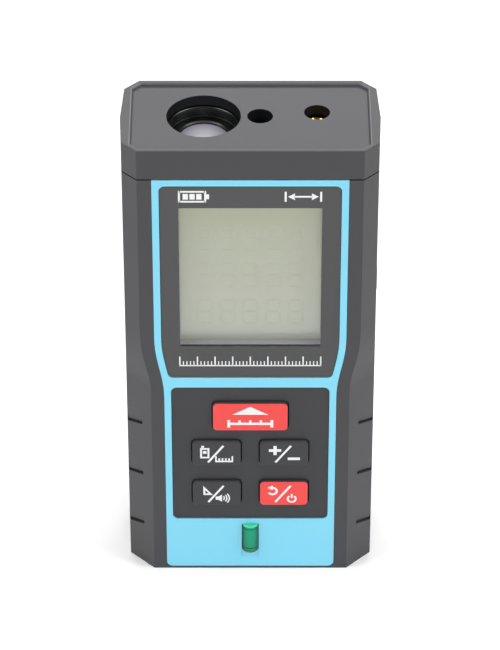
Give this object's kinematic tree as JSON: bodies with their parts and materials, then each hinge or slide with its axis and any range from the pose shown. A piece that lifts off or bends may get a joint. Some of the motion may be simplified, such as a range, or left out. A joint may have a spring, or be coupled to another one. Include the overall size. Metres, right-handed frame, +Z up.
{
  "type": "laser distance meter",
  "caption": "Pocket laser distance meter: chamfered black casing with a blue front frame, display window, rubber keypad, small bubble vial and laser and receiver apertures in the top end.",
  "frame": {"origin": "centre of the flat bottom end face, at the middle of the casing's width and depth", "axes": "+Z up the casing to the laser end, -Y out of the display, +X to the reader's right"},
  "size_m": [0.054, 0.0277, 0.112],
  "materials": {
    "casing_black": "fine moulded texture, charcoal",
    "frame_blue": "satin sky blue moulding",
    "window_dark": "clear window with dark printed border",
    "lcd_grey": "grey-green reflective panel",
    "keypad_rubber": "charcoal silicone",
    "key_red": "red silicone",
    "vial_acrylic": "green clear tube",
    "vial_plug_yellow": "yellow-green plug",
    "vial_fluid_green": "green fluid",
    "bubble_clear": "clear",
    "optic_black": "ribbed matt black, against stray light",
    "optic_aluminium": "die cast, satin",
    "lens_glass": "coated lens",
    "brass": "turned brass",
    "steel": "plated steel",
    "screw_black": "blackened steel",
    "board_green": "solder mask",
    "chip_black": "moulded package",
    "diffuser_white": "white diffuser",
    "adhesive_black": "foam tape",
    "cell_foil": "foil pouch",
    "strip_amber": "amber tape",
    "plug_white": "nylon",
    "lead_red": "lead insulation",
    "lead_black": "lead insulation",
    "foam_grey": "foam pad",
    "label_silver": "blank satin label",
    "gasket_black": "seal"
  },
  "bodies": {
    "casing": {"front_shell": "casing_black", "rear_shell": "casing_black", "top_cap": "casing_black", "rear_label": "label_silver", "cap_gasket": "gasket_black", "front_bezel": "frame_blue", "display_window": "window_dark", "window_adhesive": "adhesive_black", "lcd_glass": "lcd_grey", "lcd_contact_strip": "adhesive_black", "lcd_backlight": "diffuser_white", "keypad_mat": "keypad_rubber", "key_domes": "steel", "vial_tube": "vial_acrylic", "vial_plug": "vial_plug_yellow", "vial_fluid": "vial_fluid_green", "optics_block": "optic_aluminium", "receiver_lens": "lens_glass", "lens_retainer": "optic_black", "lens_hood": "optic_black", "laser_barrel": "brass", "laser_lens": "lens_glass", "laser_diode": "steel", "photodiode_carrier": "board_green", "photodiode": "chip_black", "main_board": "board_green", "board_chips": "chip_black", "shield_can": "steel", "buzzer": "chip_black", "usb_receptacle": "steel", "door_pin": "steel", "battery_cell": "cell_foil", "battery_strip": "strip_amber", "battery_foam": "foam_grey", "battery_socket": "plug_white", "battery_plug": "plug_white", "battery_lead_red": "lead_red", "battery_lead_black": "lead_black", "case_screws": "screw_black", "board_screws": "steel", "optics_screws": "steel", "cap_screw": "screw_black"},
    "measure_key": {"key_measure": "key_red"},
    "reference_key": {"key_reference": "keypad_rubber"},
    "plus_minus_key": {"key_plus_minus": "keypad_rubber"},
    "function_key": {"key_function": "keypad_rubber"},
    "clear_key": {"key_clear": "key_red"},
    "side_door": {"port_door": "casing_black"},
    "bubble": {"vial_bubble": "bubble_clear"}
  },
  "joints": [
    {"name": "measure_key_press", "type": "slide", "parent": "casing", "child": "measure_key", "axis": [0, 1, 0], "range_m": [0, 0.0006], "stiffness_N_per_m": 1500},
    {"name": "reference_key_press", "type": "slide", "parent": "casing", "child": "reference_key", "axis": [0, 1, 0], "range_m": [0, 0.0006], "stiffness_N_per_m": 1500},
    {"name": "plus_minus_key_press", "type": "slide", "parent": "casing", "child": "plus_minus_key", "axis": [0, 1, 0], "range_m": [0, 0.0006], "stiffness_N_per_m": 1500},
    {"name": "function_key_press", "type": "slide", "parent": "casing", "child": "function_key", "axis": [0, 1, 0], "range_m": [0, 0.0006], "stiffness_N_per_m": 1500},
    {"name": "clear_key_press", "type": "slide", "parent": "casing", "child": "clear_key", "axis": [0, 1, 0], "range_m": [0, 0.0006], "stiffness_N_per_m": 1500},
    {"name": "side_door_hinge", "type": "hinge", "parent": "casing", "child": "side_door", "pos_m": [0.02595, -0.00275, 0.076], "axis": [0, 0, 1], "range_deg": [0, 90]},
    {"name": "bubble_float", "type": "slide", "parent": "casing", "child": "bubble", "axis": [0, 0, 1], "range_m": [-0.0022, 0], "stiffness_N_per_m": 5}
  ]
}
